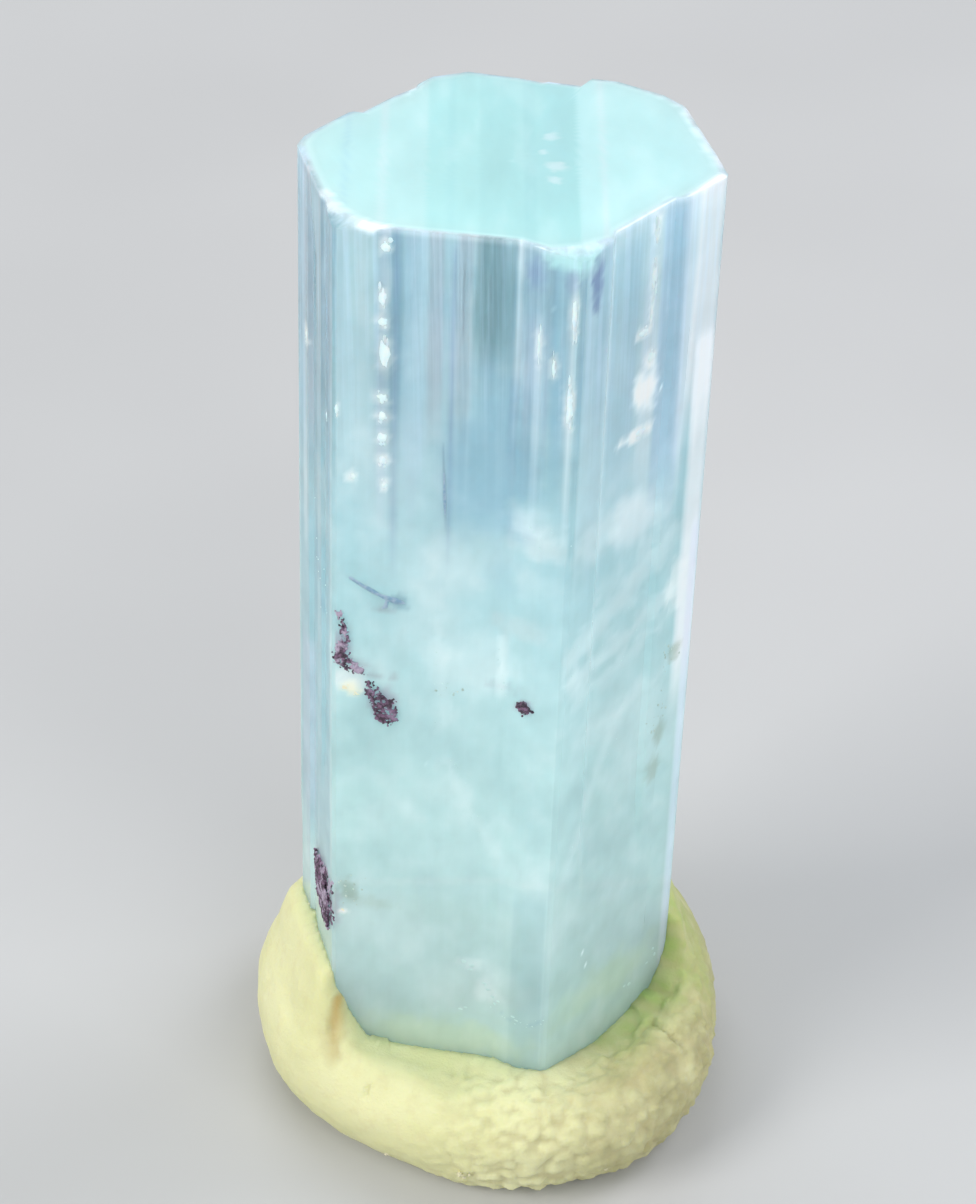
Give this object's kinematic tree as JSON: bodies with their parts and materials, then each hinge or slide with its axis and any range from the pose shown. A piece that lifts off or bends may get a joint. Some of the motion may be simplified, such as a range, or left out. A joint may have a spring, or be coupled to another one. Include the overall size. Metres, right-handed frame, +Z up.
{
  "type": "aquamarine crystal specimen in putty base",
  "caption": "Pale blue six-sided beryl prism with a flat top and small dark crusts, standing upright in a rounded lump of display putty.",
  "frame": {"origin": "middle of the putty base's flat underside, on the surface that it stands on", "axes": "+Z up, close to the length of the prism, which leans a little to +X; -Y is the front, with the widest face"},
  "size_m": [0.0274, 0.0268, 0.0619],
  "materials": {
    "aquamarine": "polished",
    "putty": "matte",
    "dark_mineral": "rough"
  },
  "bodies": {
    "root": {"aquamarine_crystal": "aquamarine", "putty_base": "putty", "dark_crust_upper": "dark_mineral", "dark_crust_middle": "dark_mineral", "dark_crust_speck": "dark_mineral", "dark_crust_corner": "dark_mineral"}
  },
  "joints": []
}
